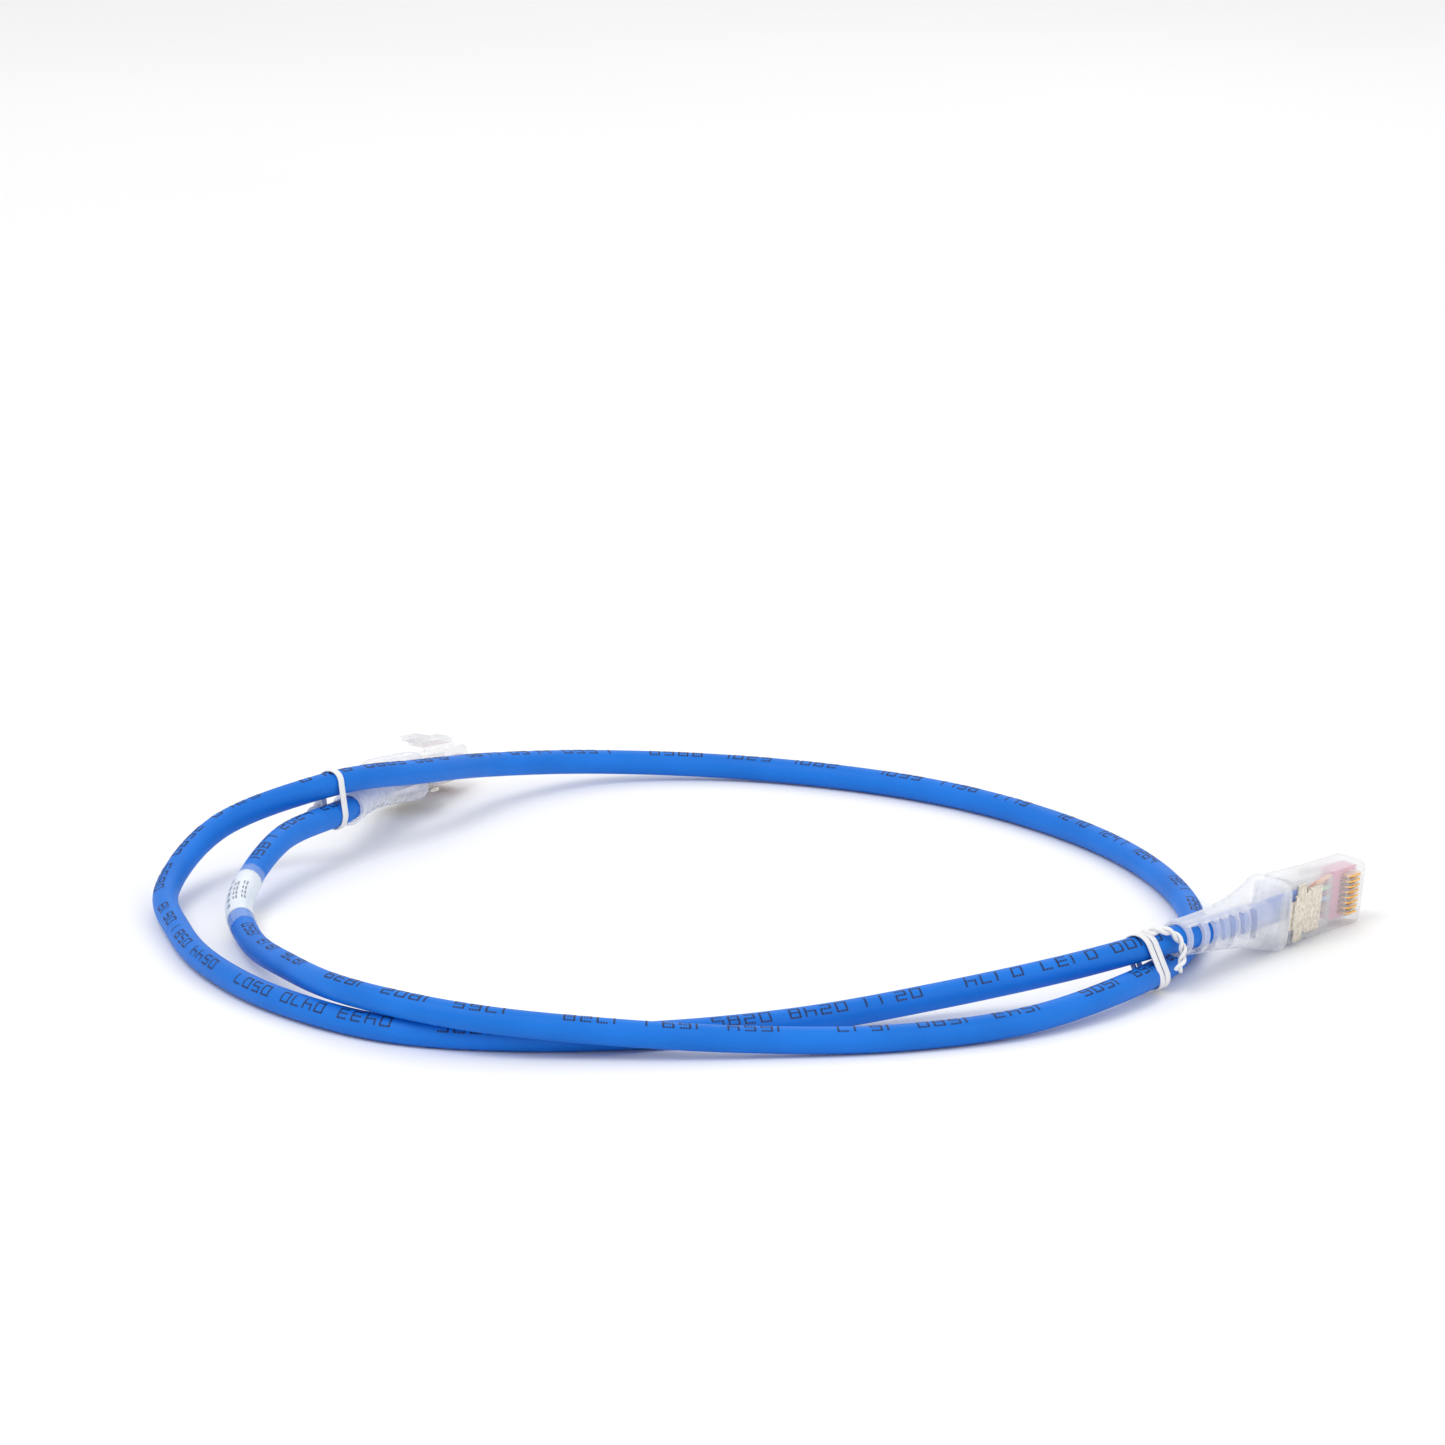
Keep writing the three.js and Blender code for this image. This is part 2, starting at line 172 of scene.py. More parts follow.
route = [boot_point(PLUGS["a"], back) for back in CENTRE_LINE_STOPS]
route += [to_world(point) for point in CABLE_ROUTE]
route += [boot_point(PLUGS["b"], back) for back in reversed(CENTRE_LINE_STOPS)]
cord = Path(smooth_curve(route))


# ---- mesh helpers --------------------------------------------------------------
BEVEL_ANGLE = 30
SHARP_ANGLE = 40


def new_object(name, verts, faces, material=None, smooth=True):
    mesh = bpy.data.meshes.new(name)
    mesh.from_pydata([tuple(v) for v in verts], [], faces)
    mesh.update()
    obj = bpy.data.objects.new(name, mesh)
    bpy.context.collection.objects.link(obj)
    if material:
        mesh.materials.append(material)
    if smooth:
        mesh.polygons.foreach_set("use_smooth", [True] * len(mesh.polygons))
    return obj


def fix_normals(obj):
    bm = bmesh.new()
    bm.from_mesh(obj.data)
    bmesh.ops.remove_doubles(bm, verts=bm.verts, dist=1e-7)
    bmesh.ops.recalc_face_normals(bm, faces=bm.faces)
    bm.to_mesh(obj.data)
    bm.free()


def add_bevel(obj, width):
    bevel = obj.modifiers.new("edge", "BEVEL")
    bevel.width = width
    bevel.segments = 2
    bevel.limit_method = "ANGLE"
    bevel.angle_limit = math.radians(BEVEL_ANGLE)
    bevel.harden_normals = False


def smooth_by_angle(obj):
    """Sharp shading only across edges steeper than SHARP_ANGLE."""
    bm = bmesh.new()
    bm.from_mesh(obj.data)
    limit = math.radians(SHARP_ANGLE)
    for edge in bm.edges:
        edge.smooth = not (len(edge.link_faces) == 2 and edge.calc_face_angle(0) > limit)
    for face in bm.faces:
        face.smooth = True
    bm.to_mesh(obj.data)
    bm.free()


def frames_along(points, start_normal=None):
    """(tangent, normal, binormal) at each point, with as little turning as possible."""
    tangents = []
    for i in range(len(points)):
        a = points[max(0, i - 1)]
        b = points[min(len(points) - 1, i + 1)]
        tangents.append((b - a).normalized())
    normal = start_normal or Vector((0, 0, 1))
    frames = []
    for tangent in tangents:
        normal = (normal - tangent * normal.dot(tangent)).normalized()
        frames.append((tangent, normal, tangent.cross(normal)))
    return frames


def ring_walls(count, sides, base=0, closed=False):
    """Quads between neighbouring rings, whose points follow each other from base on."""
    walls = []
    for i in range(count if closed else count - 1):
        ring, following = base + i * sides, base + (i + 1) % count * sides
        for j in range(sides):
            k = (j + 1) % sides
            walls.append((ring + j, ring + k, following + k, following + j))
    return walls


def sweep(name, points, profile, material, start_normal):
    """Closed solid swept along points, with a profile of (normal, binormal) offsets."""
    frames = frames_along(points, start_normal)
    sides = len(profile)
    verts = []
    for point, (_, normal, binormal) in zip(points, frames):
        verts += [point + normal * x + binormal * y for x, y in profile]
    faces = ring_walls(len(points), sides)
    faces.append(tuple(range(sides - 1, -1, -1)))
    last = (len(points) - 1) * sides
    faces.append(tuple(last + j for j in range(sides)))
    obj = new_object(name, verts, faces, material)
    fix_normals(obj)
    return obj


def circle(radius, sides):
    return [(radius * math.cos(2 * math.pi * j / sides),
             radius * math.sin(2 * math.pi * j / sides)) for j in range(sides)]


def pipe(name, points, outer, inner, sides, material):
    """Hollow tube with a real wall and flat ends."""
    frames = frames_along(points)
    verts = []
    for radius in (outer, inner):
        for point, (_, normal, binormal) in zip(points, frames):
            verts += [point + normal * x + binormal * y for x, y in circle(radius, sides)]
    n = len(points)
    faces = ring_walls(n, sides)
    faces += [quad[::-1] for quad in ring_walls(n, sides, n * sides)]
    for i in (0, n - 1):
        for j in range(sides):
            k = (j + 1) % sides
            a, b = i * sides + j, i * sides + k
            faces.append((a, n * sides + a, n * sides + b, b))
    obj = new_object(name, verts, faces, material)
    fix_normals(obj)
    return obj


def superellipse(width, height, power, sides):
    """Ring of points: power 2 is an ellipse, and higher powers near a rounded rectangle."""
    ring = []
    for j in range(sides):
        angle = 2 * math.pi * (j + 0.5) / sides
        c, s = math.cos(angle), math.sin(angle)
        ring.append((math.copysign(abs(c) ** (2 / power), c) * width / 2,
                     math.copysign(abs(s) ** (2 / power), s) * height / 2))
    return ring


def loft(name, sections, sides, matrix, material):
    """Closed solid through (back, width, height, power, dy, dz) sections of a plug."""
    verts = []
    for back, width, height, power, dy, dz in sections:
        for y, z in superellipse(width, height, power, sides):
            verts.append(matrix @ Vector((-back, y + dy, z + dz)))
    faces = ring_walls(len(sections), sides)
    faces.append(tuple(range(sides)))
    last = (len(sections) - 1) * sides
    faces.append(tuple(last + j for j in reversed(range(sides))))
    obj = new_object(name, verts, faces, material)
    fix_normals(obj)
    return obj


def prism(name, outline, n0, n1, matrix):
    """Cutter: an outline in (back, width) drawn out between two heights over the axis."""
    verts = [matrix @ Vector((-b, w, n)) for n in (n0, n1) for b, w in outline]
    count = len(outline)
    faces = [tuple(range(count)), tuple(count + i for i in reversed(range(count)))]
    for i in range(count):
        j = (i + 1) % count
        faces.append((i, j, count + j, count + i))
    obj = new_object(name, verts, faces, smooth=False)
    fix_normals(obj)
    return obj


def cut(target, *cutters):
    """Take every cutter out of the target."""
    for cutter in cutters:
        apply_boolean(target, cutter, "DIFFERENCE")


def apply_boolean(target, other, operation):
    """Exact boolean, applied to target's mesh at once; other is removed."""
    modifier = target.modifiers.new("bool", "BOOLEAN")
    modifier.operation = operation
    modifier.solver = "EXACT"
    modifier.object = other
    graph = bpy.context.evaluated_depsgraph_get()
    result = bpy.data.meshes.new_from_object(target.evaluated_get(graph))
    target.modifiers.remove(modifier)
    old = target.data
    target.data = result
    bpy.data.meshes.remove(old)
    bpy.data.objects.remove(other)


def rounded_slot(start, end, low, high):
    """Outline in (back, width) of a slot with rounded corners."""
    steps = 5
    radius = min(SLOT_CORNER, (end - start) * SLOT_CORNER_SHARE)
    corners = [(end - radius, high - radius, 0), (start + radius, high - radius, 90),
               (start + radius, low + radius, 180), (end - radius, low + radius, 270)]
    outline = []
    for back, width, turn in corners:
        for i in range(steps + 1):
            angle = math.radians(turn + 90 * i / steps)
            outline.append((back + radius * math.cos(angle), width + radius * math.sin(angle)))
    return outline


def interpolate(table, x):
    """Value of each column of a (x, values...) table, in straight lines between rows."""
    if x <= table[0][0]:
        return table[0][1:]
    for a, b in zip(table, table[1:]):
        if x <= b[0]:
            t = (x - a[0]) / (b[0] - a[0])
            return tuple(p + (q - p) * t for p, q in zip(a[1:], b[1:]))
    return table[-1][1:]


def finish_piece(obj, slot, *nodes, body="cable"):
    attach(obj, body)
    if nodes:
        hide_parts(*nodes)
    return obj


# ---- materials -----------------------------------------------------------------
class Shader:
    """A Principled material with a few procedural nodes on it."""

    def __init__(self, name, colour, roughness, **sockets):
        self.material = bpy.data.materials.new(name)
        self.material.use_nodes = True
        self.nodes = self.material.node_tree.nodes
        self.links = self.material.node_tree.links
        self.principled = self.nodes["Principled BSDF"]
        self.principled.inputs["Base Color"].default_value = (*colour, 1)
        self.principled.inputs["Roughness"].default_value = roughness
        for key, value in sockets.items():
            self.principled.inputs[key.replace("_", " ")].default_value = value
        self.coords = self.nodes.new("ShaderNodeTexCoord")

    def noise(self, scale, detail=3.0, stretch=(1, 1, 1)):
        mapping = self.nodes.new("ShaderNodeMapping")
        mapping.inputs["Scale"].default_value = stretch
        self.links.new(self.coords.outputs["Object"], mapping.inputs["Vector"])
        noise = self.nodes.new("ShaderNodeTexNoise")
        noise.inputs["Scale"].default_value = scale
        noise.inputs["Detail"].default_value = detail
        self.links.new(mapping.outputs["Vector"], noise.inputs["Vector"])
        return noise.outputs["Fac"]

    def ramp(self, factor, low, high, start=0.35, end=0.65):
        ramp = self.nodes.new("ShaderNodeValToRGB")
        ramp.color_ramp.elements[0].position = start
        ramp.color_ramp.elements[1].position = end
        ramp.color_ramp.elements[0].color = (*low, 1)
        ramp.color_ramp.elements[1].color = (*high, 1)
        self.links.new(factor, ramp.inputs["Fac"])
        return ramp.outputs["Color"]

    def colour(self, factor, low, high):
        self.links.new(self.ramp(factor, low, high), self.principled.inputs["Base Color"])
        return self

    def rough(self, factor, low, high):
        mapped = self.nodes.new("ShaderNodeMapRange")
        mapped.inputs["To Min"].default_value = low
        mapped.inputs["To Max"].default_value = high
        self.links.new(factor, mapped.inputs["Value"])
        self.links.new(mapped.outputs["Result"], self.principled.inputs["Roughness"])
        return self

    def bump(self, factor, strength, distance):
        bump = self.nodes.new("ShaderNodeBump")
        bump.inputs["Strength"].default_value = strength
        bump.inputs["Distance"].default_value = distance
        self.links.new(factor, bump.inputs["Height"])
        self.links.new(bump.outputs["Normal"], self.principled.inputs["Normal"])
        return self


def jacket_material():
    shader = Shader("jacket_pvc", (0.003, 0.16, 0.64), 0.5, IOR=1.5, Specular_IOR_Level=0.22)
    grain = shader.noise(900, 4)
    shader.colour(shader.noise(60, 2), (0.003, 0.148, 0.60), (0.006, 0.172, 0.68))
    shader.rough(grain, 0.44, 0.6)
    shader.bump(grain, 0.15, 0.00005)
    return shader.material


def clear_material(name, colour, roughness, facing, grazing, grain=0.08):
    """See-through plastic: its cover is thin face on and dense where it is seen edge on."""
    low = tuple(c * 0.96 for c in colour)
    shader = Shader(name, colour, roughness, IOR=1.5)
    shader.colour(shader.noise(220, 3), low, colour)
    shader.rough(shader.noise(500, 3), roughness * 0.7, roughness * 1.4)
    shader.bump(shader.noise(900, 3), grain, 0.00005)
    weight = shader.nodes.new("ShaderNodeLayerWeight")
    weight.inputs["Blend"].default_value = 0.35
    cover = shader.nodes.new("ShaderNodeMapRange")
    cover.inputs["To Min"].default_value = facing
    cover.inputs["To Max"].default_value = grazing
    shader.links.new(weight.outputs["Facing"], cover.inputs["Value"])
    shader.links.new(cover.outputs["Result"], shader.principled.inputs["Alpha"])
    return shader.material


def plastic_material(name, colour, roughness=0.45, spread=0.08):
    shader = Shader(name, colour, roughness, IOR=1.48)
    low = tuple(c * (1 - spread) for c in colour)
    high = tuple(min(1.0, c * (1 + spread)) for c in colour)
    shader.colour(shader.noise(150, 3), low, high)
    grain = shader.noise(1200, 3)
    shader.rough(grain, roughness * 0.85, roughness * 1.15)
    shader.bump(grain, 0.12, 0.00004)
    return shader.material


def metal_material(name, colour, dark, roughness, bump_scale, bump_depth):
    shader = Shader(name, colour, roughness, Metallic=1.0)
    grain = shader.noise(bump_scale, 4)
    shader.colour(grain, dark, colour)
    shader.rough(shader.noise(bump_scale * 0.6, 2), roughness * 0.7, roughness * 1.3)
    shader.bump(grain, 0.4, bump_depth)
    return shader.material


jacket_look = jacket_material()
ink_look = plastic_material("print_ink", (0.003, 0.016, 0.075), 0.5, 0.25)
housing_look = clear_material("clear_polycarbonate", (0.80, 0.81, 0.83), 0.08, 0.11, 0.6)
boot_look = clear_material("frosted_boot", (0.84, 0.85, 0.90), 0.26, 0.22, 0.75, 0.3)
load_bar_look = clear_material("pink_load_bar", (0.95, 0.30, 0.54), 0.2, 0.62, 0.8)
gold_look = metal_material("gold_plate", (1.0, 0.6, 0.16), (0.88, 0.45, 0.08), 0.26, 1500, 0.00002)
nickel_look = metal_material("pebbled_nickel", (0.82, 0.77, 0.68), (0.6, 0.55, 0.47), 0.36, 1400,
                             0.00008)
tie_look = plastic_material("white_tie", (0.78, 0.78, 0.79), 0.55, 0.05)
label_look = plastic_material("label_film", (0.76, 0.79, 0.83), 0.5, 0.04)
mark_look = plastic_material("label_ink", (0.14, 0.14, 0.17), 0.55, 0.2)
laminate_look = clear_material("clear_laminate", (0.7, 0.82, 0.95), 0.1, 0.05, 0.22)

WIRE_COLOURS = [
    (0.88, 0.45, 0.2), (0.8, 0.2, 0.02), (0.4, 0.7, 0.38), (0.03, 0.14, 0.6),
    (0.34, 0.5, 0.85), (0.04, 0.35, 0.08), (0.6, 0.38, 0.26), (0.2, 0.08, 0.03),
]
wire_looks = [plastic_material(f"wire_insulation_{i + 1}", colour, 0.4)
              for i, colour in enumerate(WIRE_COLOURS)]


# ---- carried-over CAD nodes ------------------------------------------------------
def dress(node, material, bevel=None):
    """Give a CAD node its material, and round its edges by bevel millimetres."""
    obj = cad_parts[node]
    obj.data.materials.clear()
    obj.data.materials.append(material)
    if bevel:
        add_bevel(obj, bevel * MM)


CONTACTS = 8
for suffix in PLUGS:
    dress(f"latch_{suffix}", housing_look, 0.12)
    dress(f"load_bar_{suffix}", load_bar_look, 0.04)
    dress(f"clip_{suffix}", nickel_look, 0.06)
    for i in range(CONTACTS):
        dress(f"contact_{i + 1}_{suffix}", gold_look, 0.04)
        dress(f"wire_{i + 1}_{suffix}", wire_looks[i])
PAIR_WIRES = (1, 5, 3, 7)
for k, wire in enumerate(PAIR_WIRES):
    dress(f"pair_{k + 1}", wire_looks[wire])

# ---- plug housings and boots -----------------------------------------------------
# Sections of a housing: (back, width, height, power, dy, dz).
HOUSING_SECTIONS = [
    (0.0, 10.0, 4.9, 6, 0, 0), (0.12, 10.7, 5.6, 7, 0, 0), (0.35, 11.25, 6.1, 8, 0, 0),
    (0.9, 11.62, 6.45, 10, 0, 0), (1.6, 11.68, 6.52, 12, 0, 0), (8, 11.68, 6.6, 12, 0, 0),
    (14.5, 11.75, 6.75, 12, 0, -0.07), (22.6, 11.9, 7.2, 12, 0, -0.25),
    (23.0, 11.75, 7.05, 10, 0, -0.25), (23.15, 10.7, 6.3, 10, 0, 0), (26, 10.6, 6.2, 10, 0, 0),
]
# Sections of a boot before it curves: (back, width, height, power).
BOOT_TABLE = [
    (24.9, 12.2, 8.3, 5), (25.15, 12.7, 8.9, 5), (25.6, 13.05, 9.35, 5), (26.6, 13.2, 9.6, 5),
    (27.8, 12.85, 9.5, 4.6), (29, 12.2, 9.2, 4), (32, 10.8, 8.8, 3.2), (36, 9.2, 8.2, 2.6),
    (41, 8.0, 7.4, 2.4), (45, 7.4, 7.0, 2.2), (51.5, 6.85, 6.6, 2.05), (54.4, 6.75, 6.55, 2),
    (54.8, 6.6, 6.4, 2), (55, 6.3, 6.1, 2),
]
BOOT_STATIONS = [25 + 0.75 * i for i in range(40)]
BORE_DIAMETER = 5.3
BORE_STATIONS = (26, 30, 34, 38, 42, 46, 50, 54, 57)
# The recess in a boot that takes the housing's rear.
POCKET_SECTIONS = [(24, 11.1, 6.7, 8, 0, 0), (26.4, 11.1, 6.7, 8, 0, 0), (27.4, 9.6, 5.2, 6, 0, 0)]
# Slots through a boot's wall on the contacts' side: (start, end) back, (low, high) across.
BOOT_SLOTS = [
    (50.3, 53.8, -2.75, 2.75), (46.6, 48.7, -2.7, 2.8), (44.2, 45.4, -0.8, 2.9),
    (41.2, 42.7, -2.7, 3.1), (38.6, 39.8, -0.6, 3.3), (35.1, 36.8, -2.4, 3.5),
]
SLOT_CORNER, SLOT_CORNER_SHARE = 0.6, 0.42
SLOT_FLOOR, SLOT_TOP = 1.5, 7
# Boxes in the plug frame: (x0, x1, y0, y1, z0, z1), with the nose at x = 0.
LATCH_ROOT = (-0.35, -1.2, -3.1, 3.1, -5.0, -2.9)
REAR_HOLLOW = (-27, -10, -4.8, 4.8, -2.7, 2.7)
FRONT_HOLLOW = (-10.5, -1.0, -4.85, 4.85, -1.6, 1.6)
CONTACT_PITCH = 1.016
CONTACT_SLOT_X, CONTACT_SLOT_Z, CONTACT_SLOT_HALF = (-5.6, -1.25), (1.4, 5), 0.3


def block(matrix, x0, x1, y0, y1, z0, z1):
    """Box in the plug frame, to add to a housing or take from it."""
    return prism("cutter", [(-x0, y0), (-x1, y0), (-x1, y1), (-x0, y1)], z0, z1, matrix)


def build_housing(suffix, matrix):
    obj = loft(f"housing_shell_{suffix}", HOUSING_SECTIONS, 96, matrix, housing_look)
    apply_boolean(obj, block(matrix, *LATCH_ROOT), "UNION")
    cut(obj, block(matrix, *REAR_HOLLOW), block(matrix, *FRONT_HOLLOW))
    for i in range(CONTACTS):
        w = CONTACT_PITCH * (3.5 - i)
        cut(obj, block(matrix, *CONTACT_SLOT_X, w - CONTACT_SLOT_HALF, w + CONTACT_SLOT_HALF,
                       *CONTACT_SLOT_Z))
    obj.data.materials.clear()
    obj.data.materials.append(housing_look)
    smooth_by_angle(obj)
    return obj


def build_boot(suffix, plug, matrix):
    front, rear = BOOT_TABLE[0][0], BOOT_TABLE[-1][0]
    stops = sorted({row[0] for row in BOOT_TABLE} | set(BOOT_STATIONS))
    sections = [(back, *interpolate(BOOT_TABLE, back), *boot_shift(plug, back))
                for back in stops if front <= back <= rear]
    obj = loft(f"boot_shell_{suffix}", sections, 72, matrix, boot_look)
    bore = [(back, BORE_DIAMETER, BORE_DIAMETER, 2, *boot_shift(plug, back))
            for back in BORE_STATIONS]
    cut(obj, loft("bore", bore, 40, matrix, None))
    cut(obj, loft("pocket", POCKET_SECTIONS, 40, matrix, None))
    for start, end, low, high in BOOT_SLOTS:
        dy, dz = boot_shift(plug, (start + end) / 2)
        outline = rounded_slot(start, end, low + dy, high + dy)
        cut(obj, prism("slot", outline, SLOT_FLOOR + dz, SLOT_TOP, matrix))
    obj.data.materials.clear()
    obj.data.materials.append(boot_look)
    smooth_by_angle(obj)
    return obj


for suffix, plug in PLUGS.items():
    matrix = plug_matrix(plug)
    finish_piece(build_housing(suffix, matrix), "clear_plastic", f"housing_{suffix}")
    finish_piece(build_boot(suffix, plug, matrix), "boot_plastic", f"boot_{suffix}")

# ---- jacket, printed numerals, label ----------------------------------------------
RADIUS = CORD_DIAMETER / 2 * MM
LABEL_START, LABEL_END = 841 * MM, 860 * MM
LABEL_INNER, LABEL_OUTER = RADIUS + 0.04 * MM, RADIUS + 0.12 * MM
FILM_START, FILM_END = LABEL_START - 6 * MM, LABEL_END + 2 * MM
FILM_INNER, FILM_OUTER = RADIUS + 0.16 * MM, RADIUS + 0.26 * MM

jacket_path = cord.samples(0, cord.length, RING_STEP * MM)
jacket = pipe("jacket", jacket_path, RADIUS, JACKET_BORE / 2 * MM, 32, jacket_look)
finish_piece(jacket, "jacket_blue", "cable_jacket")

COIL_CENTRE = to_world((0, -8, 0))
# How far the print leans outwards from the top: (millimetres along the cord, degrees).
PRINT_TILT = [(0, 34), (150, 34), (220, 42), (290, 30), (340, -4), (540, -8), (600, 24), (660, 8),
              (760, 12), (830, 4), (945, -6)]


def surface_frame(s, tilt):
    """Point on the centre line, the direction along it, the outward direction of the
    print's middle line and the direction across it."""
    point = cord.point(s)
    tangent = cord.tangent(s)
    outward = Vector((point.x - COIL_CENTRE.x, point.y - COIL_CENTRE.y, 0)).normalized()
    angle = math.radians(tilt)
    out = Vector((0, 0, 1)) * math.cos(angle) + outward * math.sin(angle)
    out = (out - tangent * out.dot(tangent)).normalized()
    return point, tangent, out, out.cross(tangent)


BAR_ROW = 0.35 * MM
BAR_SINK = 0.3


def wrap_bar(verts, faces, s, across, length, height, radius, thick, tilt):
    """A thin bar on the round surface: centre (s, across), sizes along and around."""
    start = len(verts)
    rows = 1 + math.ceil(height / BAR_ROW)
    for layer in (radius - BAR_SINK * thick, radius + thick):
        for j in range(rows):
            arc = across + height * (j / (rows - 1) - 0.5)
            for end in (-0.5, 0.5):
                point, _, out, side = surface_frame(s + length * end, tilt)
                angle = arc / radius
                verts.append(point + (out * math.cos(angle) + side * math.sin(angle)) * layer)
    layer_size = rows * 2
    for j in range(rows - 1):
        a = start + 2 * j
        faces.append((a, a + 1, a + 3, a + 2))
        b = a + layer_size
        faces.append((b, b + 2, b + 3, b + 1))
        faces.append((a, a + 2, b + 2, b))
        faces.append((a + 1, b + 1, b + 3, a + 3))
    first, last = start, start + 2 * (rows - 1)
    faces.append((first, first + layer_size, first + layer_size + 1, first + 1))
    faces.append((last, last + 1, last + layer_size + 1, last + layer_size))


# Bars of a numeral: (along, across, length, height) in cells of the glyph.
BARS = {
    "top": (0.0, 0.5, 0.8, 0.0), "middle": (0.0, 0.0, 0.8, 0.0), "bottom": (0.0, -0.5, 0.8, 0.0),
    "tl": (-0.5, 0.25, 0.0, 0.42), "tr": (0.5, 0.25, 0.0, 0.42),
    "bl": (-0.5, -0.25, 0.0, 0.42), "br": (0.5, -0.25, 0.0, 0.42),
}
NUMERALS = {
    "0": "top bottom tl tr bl br", "1": "tr br", "2": "top middle bottom tr bl",
    "3": "top middle bottom tr br", "4": "middle tl tr br", "5": "top middle bottom tl br",
    "6": "top middle bottom tl bl br", "7": "top tr br", "8": "top middle bottom tl tr bl br",
    "9": "top middle bottom tl tr br",
}
GLYPH_WIDTH = 1.75 * MM
GLYPH_HEIGHT = 1.9 * MM
GLYPH_STEP = 2.85 * MM
DOT = 0.33 * MM
DOT_PITCH = 0.42 * MM
INK_DEPTH = 0.035 * MM
PRINT_MARGIN = 46 * MM
FIRST_NUMBER, NUMBER_STEP = 100, 37
NUMBER_GAP, GROUP_GAP, GROUP = 0.9, 2.6, 3
CLEAR_BEFORE_LABEL, CLEAR_AFTER_LABEL, RESTART = 16 * MM, 3 * MM, 4 * MM


def printed_piece(name, verts, faces, material, slot):
    """One piece made of many small closed bars."""
    obj = new_object(name, verts, faces, material, smooth=False)
    bm = bmesh.new()
    bm.from_mesh(obj.data)
    bmesh.ops.recalc_face_normals(bm, faces=bm.faces)
    bm.to_mesh(obj.data)
    bm.free()
    return finish_piece(obj, slot)


def build_print():
    """Running four-figure numbers in dots along the cord, in groups, with none at the label."""
    verts, faces = [], []
    s = PRINT_MARGIN
    number = FIRST_NUMBER
    while s < cord.length - PRINT_MARGIN:
        if LABEL_START - CLEAR_BEFORE_LABEL < s < LABEL_END + CLEAR_AFTER_LABEL:
            s = LABEL_END + RESTART
        for glyph in f"{number:04d}":
            tilt = interpolate(PRINT_TILT, s / MM)[0]
            for name in NUMERALS[glyph].split():
                along, across, length, height = BARS[name]
                run = max(length * GLYPH_WIDTH, height * GLYPH_HEIGHT)
                dots = max(2, round(run / DOT_PITCH) + 1)
                for dot in range(dots):
                    slide = run * (dot / (dots - 1) - 0.5)
                    wrap_bar(verts, faces,
                             s + along * GLYPH_WIDTH + (slide if length else 0),
                             across * GLYPH_HEIGHT + (0 if length else slide),
                             DOT, DOT, RADIUS, INK_DEPTH, tilt)
            s += GLYPH_STEP
        s += GLYPH_STEP * (NUMBER_GAP if number % GROUP else GROUP_GAP)
        number += NUMBER_STEP
    return printed_piece("jacket_print", verts, faces, ink_look, "jacket_blue")


jacket_print = build_print()

label = pipe("label_wrap", cord.samples(LABEL_START, LABEL_END, MM), LABEL_OUTER, LABEL_INNER,
             40, label_look)
finish_piece(label, "label_film", "label")
laminate = pipe("laminate_wrap", cord.samples(FILM_START, FILM_END, MM), FILM_OUTER, FILM_INNER,
                40, laminate_look)
finish_piece(laminate, "laminate_film", "label_laminate")

LABEL_TILT = 0
MARK_DEPTH = 0.02 * MM


def build_marks():
    """Two rows of plain double bars, and one of thicker bars beside them."""
    verts, faces = [], []

    def mark(along, across, length, height):
        wrap_bar(verts, faces, LABEL_START + along * MM, across * MM, length * MM, height * MM,
                 LABEL_OUTER, MARK_DEPTH, LABEL_TILT)

    for row, across in enumerate((0.5, -1.1)):
        for i in range(4):
            along = 6.2 + 2.3 * i + 0.6 * row
            mark(along, across, 1.7, 0.34)
            mark(along, across + 0.55, 1.4, 0.3)
    for i in range(5):
        mark(3.5 + 3.0 * i, 2.2, 1.6, 0.7)
    return printed_piece("label_marks", verts, faces, mark_look, "label_film")


label_marks = build_marks()

# ---- ties -------------------------------------------------------------------------
# Where each tie crosses the cord, its turns' places, its lean, and its tail's route as
# (up, side, along) from the middle between the two runs.
TIES = [
    {"name": "tie_a", "first": 48, "second": 621, "turns": (-0.75, 0.8), "lean": 0.3,
     "tail": [(5.0, -0.6, 0.6), (5.1, -2.6, -0.8), (4.2, -4.2, -2.9), (1.8, -4.9, -4.2),
              (-0.6, -4.8, -3.9), (-2.6, -4.3, -2.6)]},
    {"name": "tie_b", "first": 332, "second": 896, "turns": (0.0,), "lean": 0.05,
     "tail": [(0.0, -2.9, 0.2), (-1.0, -3.9, -0.8), (-2.0, -4.5, -2.6), (-3.0, -4.7, -4.8),
              (-4.0, -4.5, -6.9)]},
]


LOOP_STEPS = 24
LOOP_GAP = 0.28 * MM
LOOP_WAVE = 0.2 * MM
BAND_HALF_WIDTH, BAND_HALF_THICKNESS = 0.72 * MM, 0.2 * MM
# The tail's strands, in millimetres, and their turn from point to point in radians.
STRAND_OFFSET, STRAND_WIDE, STRAND_THIN = 0.4, 0.45, 0.34
STRAND_TURN = 0.32


def tie_frame(tie):
    """Middle between the two runs, directions up, across and along, and the runs' distance."""
    a = cord.point(tie["first"] * MM)
    b = cord.point(tie["second"] * MM)
    along = (cord.tangent(tie["first"] * MM) + cord.tangent(tie["second"] * MM)).normalized()
    up = a - b
    gap = up.length
    up = (up - along * up.dot(along)).normalized()
    return (a + b) / 2, up, along.cross(up), along, gap


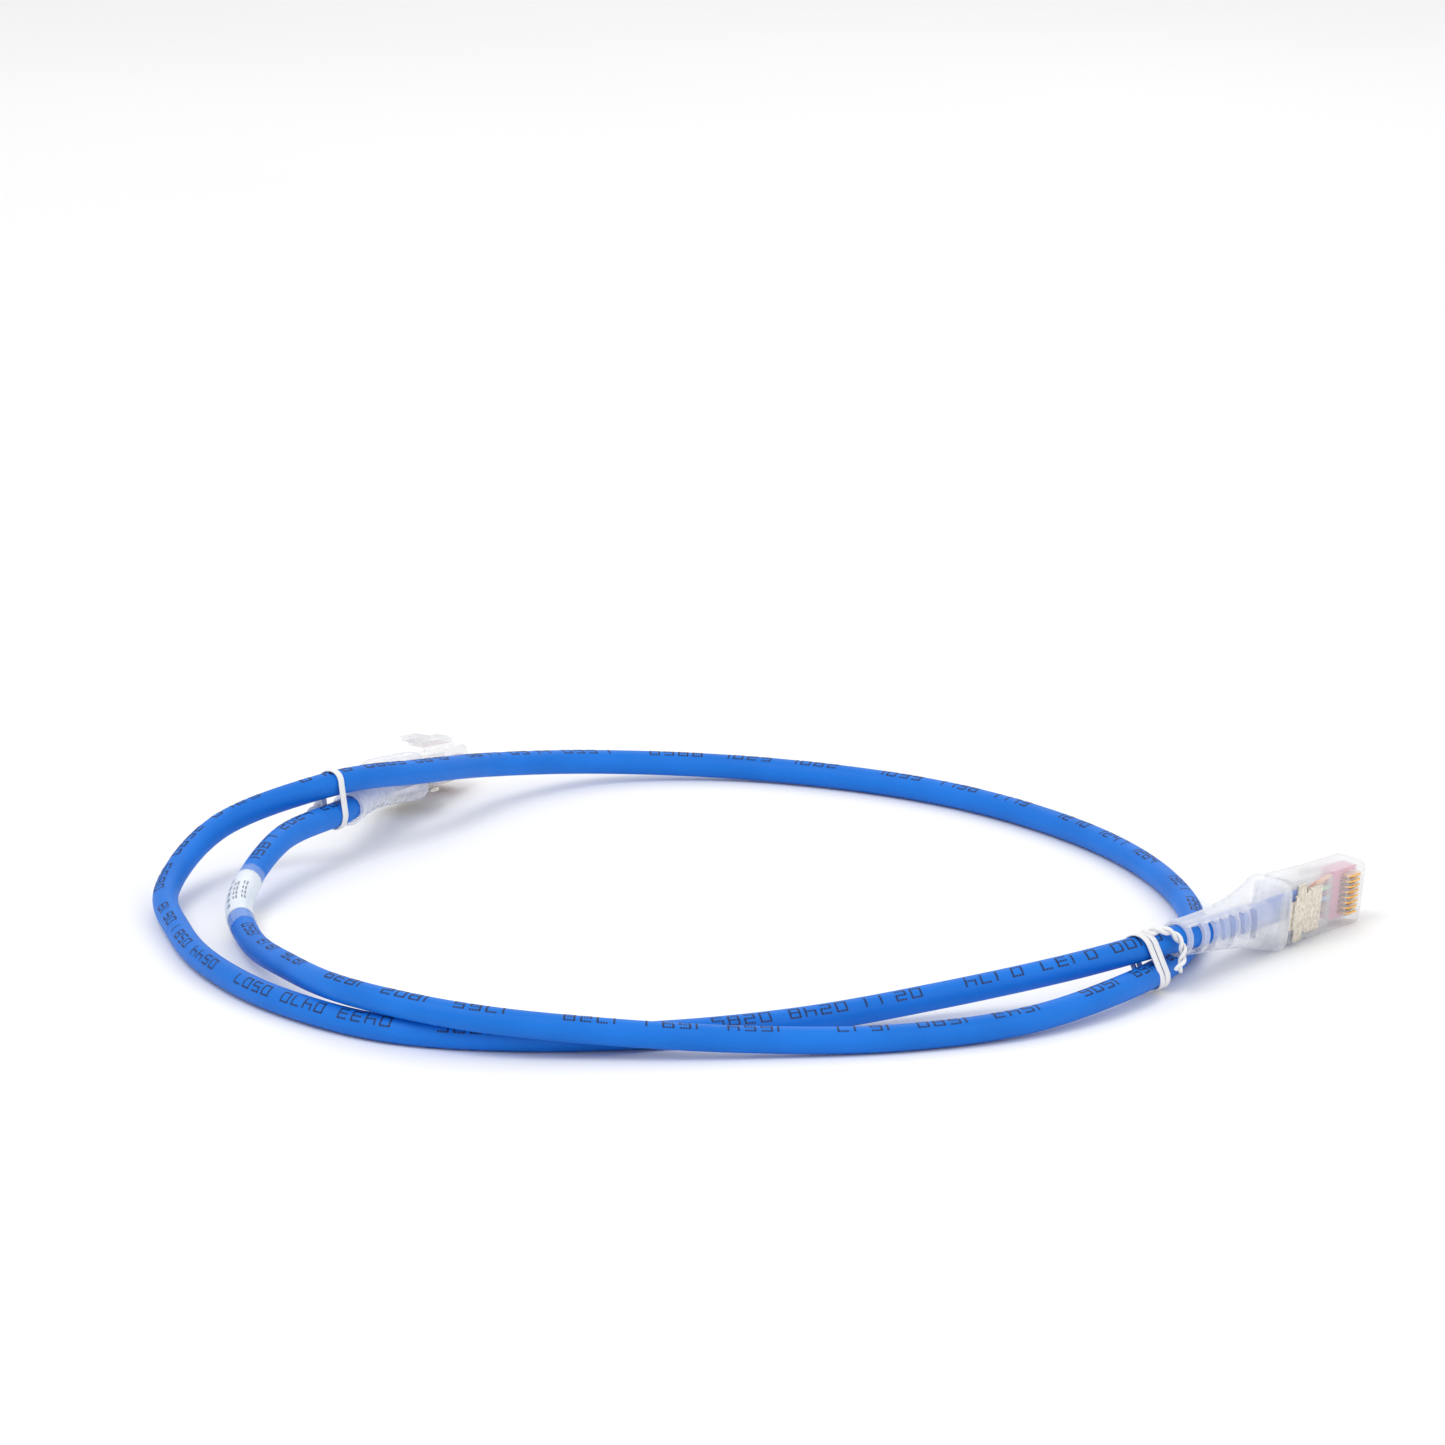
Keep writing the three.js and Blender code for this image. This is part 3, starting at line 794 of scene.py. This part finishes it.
def build_tie(tie):
    """Flat soft band looped round both runs, and a twisted tail of its two ends."""
    middle, up, side, along, gap = tie_frame(tie)
    radius = RADIUS + LOOP_GAP
    pieces = []
    for k, shift in enumerate(tie["turns"]):
        loop = []
        for half in (1, -1):
            for i in range(LOOP_STEPS + 1):
                angle = math.pi * i / LOOP_STEPS
                x = (gap / 2 + radius * math.sin(angle)) * half
                y = radius * math.cos(angle) * half
                wave = LOOP_WAVE * math.sin(angle * 2 + k)
                slide = shift * MM + wave + tie["lean"] * x
                loop.append(middle + up * x + side * y + along * slide)
        pieces.append(closed_band(f"{tie['name']}_loop_{k + 1}", loop, along))
    tail = [middle + (up * x + side * y + along * z) * MM for x, y, z in tie["tail"]]
    core = smooth_curve(tail, 12)
    frames = frames_along(core, up)
    profile = [(STRAND_WIDE * MM * x, STRAND_THIN * MM * y) for x, y in circle(1, 12)]
    for strand in range(2):
        points = []
        for i, (point, (_, normal, binormal)) in enumerate(zip(core, frames)):
            turn = strand * math.pi + STRAND_TURN * i
            away = normal * math.cos(turn) + binormal * math.sin(turn)
            points.append(point + away * STRAND_OFFSET * MM)
        name = f"{tie['name']}_tail_{strand + 1}"
        pieces.append(sweep(name, points, profile, tie_look, up))
    return pieces


def closed_band(name, loop, along):
    """Endless band along a closed loop: rounded flat section, its width along the cord."""
    verts = []
    section = superellipse(2 * BAND_HALF_WIDTH, 2 * BAND_HALF_THICKNESS, 3, 16)
    count = len(loop)
    for i, point in enumerate(loop):
        tangent = (loop[(i + 1) % count] - loop[i - 1]).normalized()
        out = tangent.cross(along).normalized()
        verts += [point + along * w + out * t for w, t in section]
    faces = ring_walls(count, len(section), closed=True)
    obj = new_object(name, verts, faces, tie_look)
    fix_normals(obj)
    return obj


for tie in TIES:
    for number, piece in enumerate(build_tie(tie)):
        finish_piece(piece, "tie_white", *([tie["name"]] if number == 0 else []))

# ---- floor and light ----------------------------------------------------------------
floor_shader = Shader("pale_floor", (0.9, 0.9, 0.9), 0.9)
floor_shader.colour(floor_shader.noise(3, 2), (0.89, 0.89, 0.89), (0.91, 0.91, 0.91))
FLOOR_CORNERS = [(-4, -4, 0), (4, -4, 0), (4, 6, 0), (-4, 6, 0)]
floor = new_object("floor", FLOOR_CORNERS, [(0, 1, 2, 3)], floor_shader.material, smooth=False)

world = bpy.data.worlds.new("studio")
bpy.context.scene.world = world
world.use_nodes = True
background = world.node_tree.nodes["Background"]
background.inputs["Color"].default_value = (1, 1, 1, 1)
background.inputs["Strength"].default_value = 0.85


def area_light(name, location, size, energy):
    """Round soft light aimed at the middle of the object."""
    data = bpy.data.lights.new(name, "AREA")
    data.shape = "DISK"
    data.size = size
    data.energy = energy
    obj = bpy.data.objects.new(name, data)
    obj.location = location
    aim = -Vector(location)
    obj.rotation_euler = aim.to_track_quat("-Z", "Y").to_euler()
    bpy.context.collection.objects.link(obj)


area_light("key", (-0.5, -0.5, 1.1), 0.7, 5)
area_light("fill", (0.8, -0.7, 0.7), 0.8, 2)
area_light("back", (0.1, 0.9, 0.8), 0.8, 1.6)
bpy.context.scene.view_settings.view_transform = "Standard"

bpy.context.view_layer.update()
